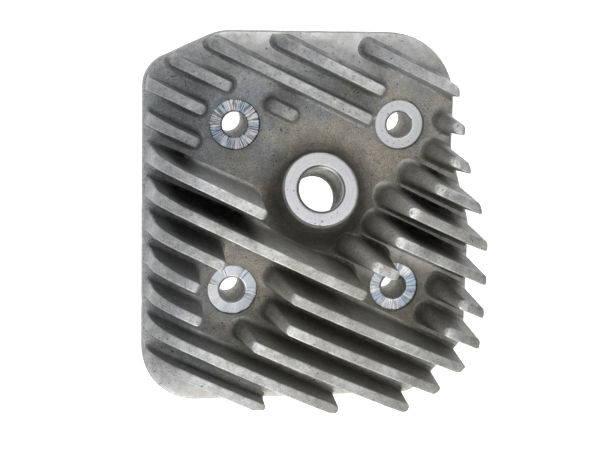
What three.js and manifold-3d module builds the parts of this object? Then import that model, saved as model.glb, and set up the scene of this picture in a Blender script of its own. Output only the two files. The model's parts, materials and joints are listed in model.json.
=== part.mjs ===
// Air-cooled cylinder head of a small two-stroke engine, in millimetres, +Z up.
// The head rests on its gasket face at z = 0. The driving dimensions below are measured from the
// bore axis, with +X to the right and +Y to the rear. The last lines move the whole head so that
// the origin is at the middle of its footprint.
import * as THREE from "three";
import { mergeVertices } from "three/addons/utils/BufferGeometryUtils.js";
import Module from "manifold-3d";

const wasm = await Module();
wasm.setup();

// ---- driving dimensions ----
const SEAT_HEIGHT = 16; // gasket face to the stud seats
const SEAT_RECESS = 0.75; // spot faces lie this far below the deck
const DECK_THICKNESS = 4.25;
const DECK_TOP = SEAT_HEIGHT + SEAT_RECESS;
const DECK_UNDERSIDE = DECK_TOP - DECK_THICKNESS;
const ROOM = 0.3; // clearance between fitted pieces

const EDGE = { left: -51.6, right: 47.6, front: -58.4, rear: 52 };
const SHOULDER = { x: 41.2, y: 17.5 }; // where the right edge starts to slant outwards

const STUD_PITCH = 49.5; // side of the stud square
const STUD_HOLE = 7.5;
const STUD_SEAT = 15;
const STUD_COLUMN = 18; // column diameter under the deck

const PLUG_TILT = THREE.MathUtils.degToRad(20.5);
const PLUG_SEAT = { y: 6.7, z: SEAT_HEIGHT + 7.8, outer: 22, inner: 14.4 };
const PLUG_BORE = 12.9; // minor diameter of the M14 thread
const BOSS_FOOT = 28; // diameter of the plug boss at its foot
const BOSS_NECK = { depth: 4, widening: 1.3 }; // the boss widens faster just below its seat
const BOSS_SKIRT = 13; // depth below the seat at which the boss reaches its foot diameter

const BORE = 46;
const CHAMBER_DEPTH = 10.75;
const DRUM = 62; // outer diameter of the gasket face
const DRUM_FLARE = 2; // the drum widens by this much where it meets the deck

const FIN_ANGLE = THREE.MathUtils.degToRad(-25);
const FIN_PITCH = 9.1;
const FIN_ROW_ZERO = -6; // distance of row 0 from the bore axis
const FIN_CREST = 2.9; // width of a fin at its crest
const FIN_DRAFT = 0.072; // widening of each side per millimetre of depth
const CROWN = { height: 29, along: 3, across: -5, alongFall: 360, acrossFall: 165 };

const RIM_RISE = 3.4; // run of a fin end that climbs from the plate edge
const NOSE_RUN = 4.4; // run of a sloping fin nose
const BLUFF_RUN = 1.9; // run of a steep fin end
const OPEN_END = 80; // a fin end that runs past the plate and is cut by its outline
const OVERRUN = 4; // length by which such a fin is made too long before the cut
const CREST_START = { run: 1.5, drop: 1.5 }; // bevel between a fin's near end and its crest
const CREST_END = { run: 1.2, drop: 1 }; // bevel between its crest and its far end
const FAR = 60; // longer than any hole is deep

// Each fin: the row it lies in, where its foot starts and ends along the row, and, for the low
// fins at the rear left, the crest height at its two ends above the stud seats.
const FINS = [
  { name: "rear_fin_1", row: 6.05, from: -9, to: OPEN_END, low: [9, 9.6] },
  { name: "rear_fin_2", row: 5, from: -33.6, to: 3, low: [7, 9] },
  { name: "rear_fin_3", row: 4, from: -51, to: 3.4, low: [6, 10] },
  { name: "left_fin_1", row: 3, from: -58.8, to: -38.2, low: [6, 10] },
  { name: "left_fin_2", row: 2, from: -OPEN_END, to: -42.4, low: [8, 12] },
  { name: "left_fin_3", row: 1, from: -OPEN_END, to: -40, low: [10, 13] },
  { name: "left_fin_4", row: 0, from: -OPEN_END, to: -16.6 },
  { name: "centre_fin", row: -1, from: -OPEN_END, to: 19.8 },
  { name: "left_fin_5", row: -2, from: -OPEN_END, to: -20.2 },
  { name: "left_fin_6", row: -3, from: -OPEN_END, to: -23.5 },
  { name: "left_fin_7", row: -4, from: -OPEN_END, to: -18.2 },
  { name: "front_fin_1", row: -5, from: -OPEN_END, to: OPEN_END },
  { name: "front_fin_2", row: -6, from: -OPEN_END, to: OPEN_END },
  { name: "right_fin_1", row: 5, from: 20, to: OPEN_END, nose: 2.8 },
  { name: "right_fin_2", row: 4, from: 21.2, to: OPEN_END, nose: NOSE_RUN },
  { name: "right_fin_3", row: 3, from: 17.8, to: OPEN_END, nose: 6 },
  { name: "right_fin_4", row: 2, from: 14.4, to: OPEN_END, nose: NOSE_RUN },
  { name: "right_fin_5", row: 1, from: 14.3, to: OPEN_END, nose: NOSE_RUN },
  { name: "right_fin_6", row: 0, from: 41.4, to: OPEN_END, nose: NOSE_RUN },
  { name: "right_fin_7", row: -1, from: 42.4, to: OPEN_END, nose: 3.6 },
  { name: "right_fin_8", row: -2, from: -5.5, to: OPEN_END, nose: NOSE_RUN },
  { name: "right_fin_9", row: -3, from: -2, to: OPEN_END, nose: NOSE_RUN },
  { name: "right_fin_10", row: -4, from: -7, to: OPEN_END, nose: 3.6 },
  { name: "boss_fin", row: 0, from: 8.8, to: 27, nose: 6.5, toRun: 3.4, meetsBoss: true },
  { name: "boss_rib", row: 3.06, from: -28.2, to: -17, low: [8.7, 8.7], crest: 3.3 },
];

// ---- materials ----
const finish = {
  castDeck: { color: 0x8b8b84, roughness: 0.72, metalness: 0.75 },
  castFin: { color: 0x9b9b97, roughness: 0.66, metalness: 0.75 },
  castBoss: { color: 0x84847d, roughness: 0.7, metalness: 0.75 },
  machined: { color: 0xc9cbd0, roughness: 0.32, metalness: 0.95 },
};

// ---- solids and meshes ----
function solidOf(geometry) {
  const bare = geometry.index ? geometry.toNonIndexed() : geometry.clone();
  bare.deleteAttribute("normal");
  bare.deleteAttribute("uv");
  const merged = mergeVertices(bare, 1e-4);
  const corners = merged.index.array;
  const triVerts = [];
  for (let i = 0; i < corners.length; i += 3) {
    const [a, b, c] = [corners[i], corners[i + 1], corners[i + 2]];
    if (a !== b && b !== c && c !== a) triVerts.push(a, b, c);
  }
  const mesh = new wasm.Mesh({
    numProp: 3,
    vertProperties: new Float32Array(merged.attributes.position.array),
    triVerts: new Uint32Array(triVerts),
  });
  return new wasm.Manifold(mesh);
}

function geometryOf(solid) {
  const { vertProperties, triVerts } = solid.getMesh();
  const geometry = new THREE.BufferGeometry();
  geometry.setAttribute("position", new THREE.BufferAttribute(new Float32Array(vertProperties), 3));
  geometry.setIndex(new THREE.BufferAttribute(new Uint32Array(triVerts), 1));
  geometry.computeVertexNormals();
  return geometry;
}

function piece(name, solid, look) {
  const mesh = new THREE.Mesh(geometryOf(solid), new THREE.MeshStandardMaterial(look));
  mesh.name = name;
  return mesh;
}

function extrudeUp(shape, bottom, top, curveSegments = 6) {
  const geometry = new THREE.ExtrudeGeometry(shape, {
    depth: top - bottom,
    bevelEnabled: false,
    curveSegments,
  });
  return geometry.translate(0, 0, bottom);
}

function cylinder(diameter, bottom, top, x = 0, y = 0, segments = 40) {
  const geometry = new THREE.CylinderGeometry(diameter / 2, diameter / 2, top - bottom, segments);
  return solidOf(geometry.rotateX(Math.PI / 2).translate(x, y, (bottom + top) / 2));
}

function turned(profile, segments = 48) {
  const points = profile.map(([radius, height]) => new THREE.Vector2(radius, height));
  return new THREE.LatheGeometry(points, segments).rotateX(Math.PI / 2);
}

// ---- plate outline: corners with their rounding radii, counter-clockwise from the front left ----
function roundedShape(corners) {
  const shape = new THREE.Shape();
  corners.forEach(([x, y, radius], i) => {
    const corner = new THREE.Vector2(x, y);
    const before = new THREE.Vector2(...corners.at(i - 1)).sub(corner).normalize();
    const after = new THREE.Vector2(...corners[(i + 1) % corners.length]).sub(corner).normalize();
    const halfAngle = Math.acos(before.dot(after)) / 2;
    const start = before.clone().multiplyScalar(radius / Math.tan(halfAngle)).add(corner);
    const toCentre = before.clone().add(after).normalize();
    const centre = toCentre.multiplyScalar(radius / Math.sin(halfAngle)).add(corner);
    const end = after.clone().multiplyScalar(radius / Math.tan(halfAngle)).add(corner);
    const clockwise = before.cross(after) > 0;
    const startAngle = Math.atan2(start.y - centre.y, start.x - centre.x);
    const endAngle = Math.atan2(end.y - centre.y, end.x - centre.x);
    shape.absarc(centre.x, centre.y, radius, startAngle, endAngle, clockwise);
  });
  shape.closePath();
  return shape;
}

const plateOutline = roundedShape([
  [EDGE.left, EDGE.front, 16.5],
  [31.2, EDGE.front, 8],
  [EDGE.right, -42.2, 9],
  [EDGE.right, -5, 12],
  [SHOULDER.x, SHOULDER.y, 12],
  [SHOULDER.x, EDGE.rear, 20.2],
  [-29.4, EDGE.rear, 17],
  [EDGE.left, 41.9, 10],
]);

const studPlaces = [
  ["rear_left", -1, 1],
  ["rear_right", 1, 1],
  ["front_left", -1, -1],
  ["front_right", 1, -1],
].map(([corner, sideX, sideY]) => ({
  corner,
  x: (sideX * STUD_PITCH) / 2,
  y: (sideY * STUD_PITCH) / 2,
}));

// ---- spark plug axis ----
// Turns a solid made around +Z, with the seat at z = 0, onto the tilted plug axis.
function onPlugAxis(geometry) {
  return solidOf(geometry.rotateX(-PLUG_TILT).translate(0, PLUG_SEAT.y, PLUG_SEAT.z));
}

function plugBore(diameter) {
  const geometry = new THREE.CylinderGeometry(diameter / 2, diameter / 2, FAR, 48);
  return onPlugAxis(geometry.rotateX(Math.PI / 2));
}

// ---- pieces ----
function buildDeckPlate() {
  let plate = solidOf(extrudeUp(plateOutline, DECK_UNDERSIDE, DECK_TOP));
  for (const { x, y } of studPlaces) {
    plate = plate.subtract(cylinder(STUD_SEAT + 2 * ROOM, 0, FAR, x, y));
  }
  return piece("deck_plate", plate.subtract(plugBore(PLUG_BORE + 2 * ROOM)), finish.castDeck);
}

function buildGasketDrum() {
  const chamberRadius = ((BORE / 2) ** 2 + CHAMBER_DEPTH ** 2) / (2 * CHAMBER_DEPTH);
  const steps = 8;
  const dome = [];
  for (let i = 0; i <= steps; i += 1) {
    const radius = (BORE / 2) * (i / steps);
    dome.push([radius, CHAMBER_DEPTH - chamberRadius + Math.sqrt(chamberRadius ** 2 - radius ** 2)]);
  }
  const edge = DRUM / 2;
  const flare = [[edge, DECK_UNDERSIDE - DRUM_FLARE], [edge + DRUM_FLARE, DECK_UNDERSIDE]];
  let drum = solidOf(turned([...dome, [edge, 0], ...flare, [0, DECK_UNDERSIDE]]));
  for (const { x, y } of studPlaces) {
    drum = drum.subtract(cylinder(STUD_COLUMN + 2 * ROOM, -1, FAR, x, y));
  }
  return piece("gasket_drum", drum.subtract(plugBore(PLUG_BORE + 2 * ROOM)), finish.castBoss);
}

function buildStudBoss({ corner, x, y }) {
  const neck = STUD_SEAT / 2;
  const column = STUD_COLUMN / 2;
  const hole = STUD_HOLE / 2;
  const shoulder = DECK_UNDERSIDE - ROOM;
  const profile = [
    [hole, 0],
    [column, 0],
    [column, shoulder],
    [neck, shoulder],
    [neck, SEAT_HEIGHT],
    [hole, SEAT_HEIGHT],
    [hole, 0],
  ];
  const boss = turned(profile, 40).translate(x, y, 0);
  return piece(`stud_boss_${corner}`, solidOf(boss), finish.machined);
}

// The turret around the plug bore: a cone that widens downwards, grown by extra all round.
function bossCone(extra) {
  const seat = PLUG_SEAT.outer / 2 + extra;
  const foot = BOSS_FOOT / 2 + extra;
  const bottom = -BOSS_SKIRT - 7;
  const neck = [seat + BOSS_NECK.widening, -BOSS_NECK.depth];
  return onPlugAxis(turned([[0, bottom], [foot, bottom], [foot, -BOSS_SKIRT], neck, [seat, 0], [0, 0]]));
}

function buildPlugBoss() {
  const seat = PLUG_SEAT.inner / 2;
  const bore = PLUG_BORE / 2;
  const hollow = [[0, -FAR], [bore, -FAR], [bore, bore - seat], [seat, 0], [seat, 5], [0, 5]];
  const above = new THREE.BoxGeometry(80, 80, 40).translate(0, 0, DECK_TOP + 20);
  const boss = bossCone(0).subtract(onPlugAxis(turned(hollow))).intersect(solidOf(above));
  return piece("spark_plug_boss", boss, finish.castBoss);
}

// ---- fins ----
const along = new THREE.Vector2(Math.cos(FIN_ANGLE), Math.sin(FIN_ANGLE));
const across = new THREE.Vector2(-along.y, along.x);

// Where a fin's centre line enters and leaves the plate.
function plateReach(offset) {
  const points = plateOutline.getPoints(6);
  const hits = [];
  points.forEach((point, i) => {
    const next = points[(i + 1) % points.length];
    const [a, b] = [point.dot(across) - offset, next.dot(across) - offset];
    if (a * b < 0) hits.push(point.clone().lerp(next, a / (a - b)).dot(along));
  });
  return [Math.min(...hits), Math.max(...hits)];
}

// Crest height above the gasket face: a shallow dome over the whole head, or a straight crest.
function crestHeight(fin, offset, start, end, s) {
  if (fin.low) {
    const share = THREE.MathUtils.clamp((s - start) / (end - start), 0, 1);
    return SEAT_HEIGHT + THREE.MathUtils.lerp(fin.low[0], fin.low[1], share);
  }
  const fallAlong = (s - CROWN.along) ** 2 / CROWN.alongFall;
  const fallAcross = (offset - CROWN.across) ** 2 / CROWN.acrossFall;
  return SEAT_HEIGHT + CROWN.height - fallAlong - fallAcross;
}

function buildFin(fin) {
  const offset = FIN_ROW_ZERO + fin.row * FIN_PITCH;
  const [edgeStart, edgeEnd] = plateReach(offset);
  const fromEdge = fin.from < edgeStart;
  const toEdge = fin.to > edgeEnd;
  const start = fromEdge ? edgeStart : fin.from;
  const end = toEdge ? edgeEnd + OVERRUN : fin.to;
  const startRun = fin.nose ?? (fromEdge ? RIM_RISE : BLUFF_RUN);
  const endRun = toEdge ? 0 : fin.toRun ?? BLUFF_RUN;
  const crest = (s) => crestHeight(fin, offset, start, end, s);

  // Side view of the fin: the foot, the near end, the crest in short steps and the far end.
  const first = start + startRun;
  const last = end - endRun;
  const side = new THREE.Shape();
  side.moveTo(start, DECK_TOP);
  side.lineTo(end, DECK_TOP);
  side.lineTo(last, crest(last) - CREST_END.drop);
  const steps = 6;
  for (let i = 0; i <= steps; i += 1) {
    const s = THREE.MathUtils.lerp(last - CREST_END.run, first + CREST_START.run, i / steps);
    side.lineTo(s, crest(s));
  }
  const firstTop = crest(first);
  side.lineTo(first, firstTop - CREST_START.drop);
  if (fromEdge) {
    const foot = THREE.MathUtils.lerp(DECK_TOP, firstTop, 0.3);
    side.lineTo(first - 0.4 * startRun, foot);
    side.lineTo(first - 0.75 * startRun, THREE.MathUtils.lerp(DECK_TOP, foot, 0.3));
  }
  side.closePath();

  // The side view is given its width, then each vertex spreads outwards with its depth.
  const half = (fin.crest ?? FIN_CREST) / 2;
  const geometry = new THREE.ExtrudeGeometry(side, { depth: 2 * half, bevelEnabled: false });
  geometry.translate(0, 0, -half).rotateX(Math.PI / 2);
  const vertices = geometry.attributes.position;
  for (let i = 0; i < vertices.count; i += 1) {
    const [s, v, z] = [vertices.getX(i), vertices.getY(i), vertices.getZ(i)];
    const spread = v * (1 + (Math.max(0, crest(s) - z) * FIN_DRAFT) / half);
    const x = s * along.x + (offset + spread) * across.x;
    const y = s * along.y + (offset + spread) * across.y;
    vertices.setXYZ(i, x, y, z);
  }
  let solid = solidOf(geometry);
  if (fromEdge || toEdge) solid = solid.intersect(solidOf(extrudeUp(plateOutline, 0, FAR)));
  if (fin.meetsBoss) solid = solid.subtract(bossCone(ROOM));
  for (const { x, y } of studPlaces) {
    solid = solid.subtract(cylinder(STUD_SEAT + 2 * ROOM, 0, FAR, x, y));
  }
  return piece(fin.name, solid, finish.castFin);
}

// ---- the head ----
const head = new THREE.Group();
head.add(buildDeckPlate(), buildGasketDrum(), buildPlugBoss());
for (const place of studPlaces) head.add(buildStudBoss(place));
for (const fin of FINS) head.add(buildFin(fin));
head.position.set(-(EDGE.left + EDGE.right) / 2, -(EDGE.front + EDGE.rear) / 2, 0);

export default head;
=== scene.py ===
"""Looks of a bare air-cooled cylinder head: cast aluminium with machined seats.

Lengths are in millimetres until a mesh is made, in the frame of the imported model.
"""

import json
import math

import bmesh
import bpy
import numpy as np
from mathutils import Matrix, Vector, geometry, noise


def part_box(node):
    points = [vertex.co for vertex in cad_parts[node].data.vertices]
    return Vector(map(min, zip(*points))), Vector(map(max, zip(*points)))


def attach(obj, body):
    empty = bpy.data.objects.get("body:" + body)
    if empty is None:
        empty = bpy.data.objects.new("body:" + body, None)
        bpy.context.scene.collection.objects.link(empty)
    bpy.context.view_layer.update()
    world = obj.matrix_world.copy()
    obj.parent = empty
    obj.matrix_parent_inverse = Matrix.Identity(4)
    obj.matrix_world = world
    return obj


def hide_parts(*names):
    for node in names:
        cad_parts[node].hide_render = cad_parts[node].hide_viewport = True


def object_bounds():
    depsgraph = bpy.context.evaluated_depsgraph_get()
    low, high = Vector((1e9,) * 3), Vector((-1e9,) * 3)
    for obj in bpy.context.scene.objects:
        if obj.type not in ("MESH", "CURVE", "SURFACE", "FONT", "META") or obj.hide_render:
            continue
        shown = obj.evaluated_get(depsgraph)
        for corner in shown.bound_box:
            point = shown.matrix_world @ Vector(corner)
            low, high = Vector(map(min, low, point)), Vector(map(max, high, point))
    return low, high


MM = 0.001  # one millimetre in Blender's metres
TAU = 2 * math.pi
CAD_TOLERANCE = 0.01  # CAD points closer than this are at one level
SHARP_ANGLE = math.radians(38)

noise.seed_set(1)  # without a seed, noise_vector takes its offset from the clock

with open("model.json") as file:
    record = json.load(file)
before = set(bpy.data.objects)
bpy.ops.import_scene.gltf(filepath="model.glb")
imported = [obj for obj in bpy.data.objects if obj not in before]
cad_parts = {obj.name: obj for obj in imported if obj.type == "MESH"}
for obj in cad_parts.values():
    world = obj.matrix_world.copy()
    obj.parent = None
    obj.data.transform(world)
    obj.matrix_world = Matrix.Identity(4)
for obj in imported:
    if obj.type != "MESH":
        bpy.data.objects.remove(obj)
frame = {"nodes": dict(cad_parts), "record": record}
cad_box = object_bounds()
mounts = {mount["name"]: mount for mount in frame["record"]["mounts"]}


# ---- what the frame says ----
def box_mm(node):
    low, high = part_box(node)
    return low / MM, high / MM


def cad_points(node):
    return [vertex.co / MM for vertex in frame["nodes"][node].data.vertices]


plate_low, plate_high = box_mm("deck_plate")
DECK_TOP, DECK_UNDERSIDE = plate_high.z, plate_low.z

CORNERS = ("rear_left", "rear_right", "front_left", "front_right")
studs = {}
for corner in CORNERS:
    low, high = box_mm(f"stud_boss_{corner}")
    studs[corner] = Vector(((low.x + high.x) / 2, (low.y + high.y) / 2))
SEAT_TOP = high.z  # the four stud bosses are alike
COLUMN_RADIUS = (high.x - low.x) / 2
bore_axis = sum(studs.values(), Vector((0, 0))) / len(studs)

SEAT_RADIUS = 7.5
STUD_HOLE_RADIUS = 3.75
plug_direction = Vector(mounts["plug_seat"]["axis"]).normalized()
plug_mount = Vector(mounts["plug_seat"]["pos_m"]) / MM
plug_seat = Vector((bore_axis.x, plug_mount.y, plug_mount.z))
PLUG_RING_RADIUS = 11.0
BOSS_INNER_RADIUS = 8.6
PLUG_MOUTH_RADIUS = 7.2
THREAD_MINOR_RADIUS = 6.45
THREAD_DEPTH = 0.62
THREAD_PITCH = 1.25
THREAD_OUTER_RADIUS = 8.2
DRUM_RADIUS = 31.0
DRUM_SIDES = 180
BORE_RADIUS = 23.0
BORE_SIDES = 120
CHAMBER_DEPTH = 10.75

FIN_ANGLE = math.radians(-25)
along = Vector((math.cos(FIN_ANGLE), math.sin(FIN_ANGLE)))
across = Vector((-along.y, along.x))


def clamp(value, low=0.0):
    """The value, held between low and one."""
    return min(1.0, max(low, value))


def fin_place(point):
    """A point's place along and across the fins, from the bore axis."""
    flat = point - bore_axis
    return flat.dot(along), flat.dot(across)


# ---- meshes ----
def new_piece(name, points, faces, material, floats=None):
    """A mesh object from points in millimetres, riding on the head."""
    mesh = bpy.data.meshes.new(name)
    mesh.from_pydata([point * MM for point in points], [], faces)
    mesh.validate()
    shell = bmesh.new()
    shell.from_mesh(mesh)
    bmesh.ops.recalc_face_normals(shell, faces=shell.faces)
    shell.to_mesh(mesh)
    shell.free()
    for polygon in mesh.polygons:
        polygon.use_smooth = True
    for label, values in (floats or {}).items():
        attribute = mesh.attributes.new(label, "FLOAT", "POINT")
        attribute.data.foreach_set("value", values)
    mesh.set_sharp_from_angle(angle=SHARP_ANGLE)
    mesh.materials.append(material)
    piece = bpy.data.objects.new(name, mesh)
    bpy.context.scene.collection.objects.link(piece)
    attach(piece, "root")
    return piece


def cast_noise(point, size, seed=0):
    """A smooth random value from -1 to 1 that changes over size millimetres."""
    return noise.noise(Vector(point) / size + Vector((seed, 2.3 * seed, 7.1)))


def bridge(first, second, count, faces):
    """Quads between two closed rows of vertices that start at these indices."""
    for i in range(count):
        j = (i + 1) % count
        faces.append((first + i, first + j, second + j, second + i))


def stack_rings(rings, place):
    """Points and faces of rings joined into a closed tube: each ring has (x, y, z) in place."""
    count = len(rings[0])
    points = [place @ Vector(point) for ring in rings for point in ring]
    faces = []
    for k in range(len(rings)):
        bridge(k * count, (k + 1) % len(rings) * count, count, faces)
    return points, faces


def join_rows(rows, count, faces):
    """Bridges rows of vertices that follow each other from the first vertex on."""
    for k in range(rows - 1):
        bridge(k * count, (k + 1) * count, count, faces)


def circle(radius, height, count):
    turns = [TAU * i / count for i in range(count)]
    return [(radius * math.cos(turn), radius * math.sin(turn), height) for turn in turns]


def flat_circle(centre, radius, count):
    return [centre + Vector(point).xy for point in circle(radius, 0, count)]


def arc_steps(count):
    return [math.pi / 2 * i / count for i in range(count + 1)]


# ---- materials ----
class Shader:
    """A small helper that builds a node material with one Principled shader."""

    def __init__(self, name):
        self.material = bpy.data.materials.new(name)
        self.material.use_nodes = True
        self.nodes = self.material.node_tree.nodes
        self.links = self.material.node_tree.links
        self.principled = self.nodes["Principled BSDF"]
        place = self.node("TexCoord", {}).outputs["Object"]
        scale = self.node("VectorMath", {0: place, 1: (1 / MM,) * 3}, operation="MULTIPLY")
        self.mm = scale.outputs[0]

    def put(self, value, socket):
        if hasattr(value, "links"):
            self.links.new(value, socket)
        else:
            socket.default_value = value

    def node(self, kind, inputs, **settings):
        """A new node, with its settings made before its inputs are set or linked."""
        node = self.nodes.new("ShaderNode" + kind)
        for label, value in settings.items():
            setattr(node, label, value)
        for label, value in inputs.items():
            self.put(value, node.inputs[label])
        return node

    def noise(self, size, detail=3.0, roughness=0.55, seed=0.0, vector=None):
        inputs = {"W": seed, "Scale": 1 / size, "Detail": detail, "Roughness": roughness}
        inputs["Vector"] = vector or self.mm
        return self.node("TexNoise", inputs, noise_dimensions="4D").outputs["Fac"]

    def math(self, operation, first, second=0.0, clamped=False):
        inputs = {0: first, 1: second}
        return self.node("Math", inputs, operation=operation, use_clamp=clamped).outputs[0]

    def plus(self, first, second):
        return self.math("ADD", first, second)

    def minus(self, first, second):
        return self.math("SUBTRACT", first, second)

    def times(self, first, second, clamped=False):
        return self.math("MULTIPLY", first, second, clamped)

    def length(self, x, y):
        return self.math("SQRT", self.plus(self.times(x, x), self.times(y, y)))

    def span(self, value, low, high, to_low=0.0, to_high=1.0):
        inputs = {"Value": value, "From Min": low, "From Max": high}
        inputs.update({"To Min": to_low, "To Max": to_high})
        return self.node("MapRange", inputs, interpolation_type="SMOOTHSTEP").outputs["Result"]

    def mix(self, factor, first, second, blend="MIX"):
        inputs = {"Factor": factor}
        for label, value in (("A", first), ("B", second)):
            inputs[label] = value if hasattr(value, "links") else (*value, 1.0)
        node = self.node("Mix", inputs, data_type="RGBA", blend_type=blend)
        return node.outputs["Result"]

    def shade(self, colour, value):
        """The colour, multiplied by a grey value."""
        grey = self.node("CombineColor", {0: value, 1: value, 2: value}).outputs["Color"]
        return self.mix(1.0, colour, grey, "MULTIPLY")

    def combine(self, *parts):
        return self.node("CombineXYZ", dict(enumerate(parts))).outputs[0]

    def split(self, vector):
        """The x and y of a vector."""
        return self.node("SeparateXYZ", {0: vector}).outputs[:2]

    def attribute(self, label):
        return self.node("Attribute", {}, attribute_name=label).outputs["Fac"]

    def bump(self, height, strength, distance):
        inputs = {"Strength": strength, "Distance": distance * MM, "Height": height}
        return self.node("Bump", inputs).outputs["Normal"]

    def finish(self, colour, roughness, metallic, normal=None):
        colour = colour if hasattr(colour, "links") else (*colour, 1.0)
        inputs = {"Base Color": colour, "Roughness": roughness, "Metallic": metallic}
        if normal is not None:
            inputs["Normal"] = normal
        for label, value in inputs.items():
            self.put(value, self.principled.inputs[label])
        return self.material


WHITE_METAL, BLUE_METAL = (0.98, 0.99, 1.02), (0.46, 0.60, 0.76)
# Near white, for machined scars and painted highlights.
SCAR_AND_HIGHLIGHT_COLOUR = (0.8, 0.8, 0.79)
# Near black, for painted shade and grime.
SHADE_AND_GRIME_COLOUR = (0.022, 0.021, 0.018)
PIT_COLOUR = (0.03, 0.028, 0.025)
SPECK_COLOUR = (0.06, 0.055, 0.05)
# A painted shade colour for the plug seat's mouth and a painted highlight colour for its lip.
MOUTH_SHADE_COLOUR = (0.3, 0.29, 0.27)
LIP_HIGHLIGHT_COLOUR = (0.75, 0.76, 0.78)
CAST_METALLIC, MACHINED_METALLIC = 0.58, 0.9


def cast_material(name, cool, warm, pale, shade_and_grime, seed, patchy=1.0):
    """As-cast aluminium: fine grain, small pits, soft stains and bright worn crests, with painted light,
    highlights and shade carried by the mesh's attributes.
    """
    s = Shader(name)
    x, y = s.split(s.mm)
    lean = s.plus(s.times(x, 0.009), s.times(y, -0.0067))
    warmth = s.plus(lean, s.span(s.length(x, y), 12, 52, 0.75, 0.3))
    stain = s.plus(warmth, s.times(s.minus(s.noise(13, 2, seed=seed), 0.5), 1.5))
    colour = s.mix(s.span(stain, 0.0, 0.68), cool, warm)
    mottle = s.span(s.noise(2.2, 3, seed=seed + 3), 0.3, 0.7, 0.89, 1.1)
    grain = s.span(s.noise(0.42, 2, 0.75, seed=seed + 5), 0.28, 0.72, 0.66, 1.34)
    colour = s.shade(colour, s.times(mottle, grain))
    # Real wear, and painted light: one attribute pales worn crests and rims, and also paints light along
    # the deck's edges, in the gaps on the right, on fin roots and along the fins' rear crest edges.
    fine_patches = s.span(s.noise(1.6, 3, seed=9), 0.3, 0.6, 1 - 0.65 * patchy, 1)
    broad_patches = s.span(s.noise(7, 2, seed=10), 0.35, 0.65, 1 - 0.6 * patchy, 1 + 0.8 * patchy)
    wear_and_light = s.times(s.attribute("wear_and_light"), s.times(fine_patches, broad_patches), clamped=True)
    colour = s.mix(wear_and_light, colour, pale)
    # Machined cuts where the spot faces meet fins, and painted highlights: a pale spot at each nose's
    # crest start and a pale strip on the rear root of tall fins.
    ragged = s.times(s.minus(s.noise(0.8, 3, seed=13), 0.5), 0.9)
    scar_and_highlight = s.span(s.plus(s.attribute("scar_and_highlight"), ragged), 0.45, 0.6)
    blotch = s.span(s.noise(0.5, 3, 0.7, seed=14), 0.35, 0.62, 0.15, 1)
    colour = s.mix(s.times(scar_and_highlight, blotch), colour, SCAR_AND_HIGHLIGHT_COLOUR)
    # Painted shade: an attribute darkens fin gaps, roots and hollows towards near black.
    uneven = s.span(s.noise(3.0, 4, seed=12), 0.3, 0.65, 0.78, 1)
    darkening = s.times(s.times(s.attribute("shade_and_grime"), uneven), shade_and_grime, clamped=True)
    colour = s.mix(darkening, colour, SHADE_AND_GRIME_COLOUR)
    pit_depth = s.span(s.noise(0.75, 1, seed=seed + 20), 0.67, 0.74)
    colour = s.mix(s.times(pit_depth, 0.75), colour, PIT_COLOUR)
    roughness = s.span(s.noise(1.1, 2, seed=seed + 30), 0.3, 0.7, 0.5, 0.68)
    relief = s.plus(s.noise(0.5, 2, 0.6, seed=seed + 5), s.times(s.noise(1.7, 2), 1.3))
    relief = s.minus(relief, s.times(pit_depth, 0.8))
    return s.finish(colour, roughness, CAST_METALLIC, s.bump(relief, 0.6, 0.16))


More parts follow.
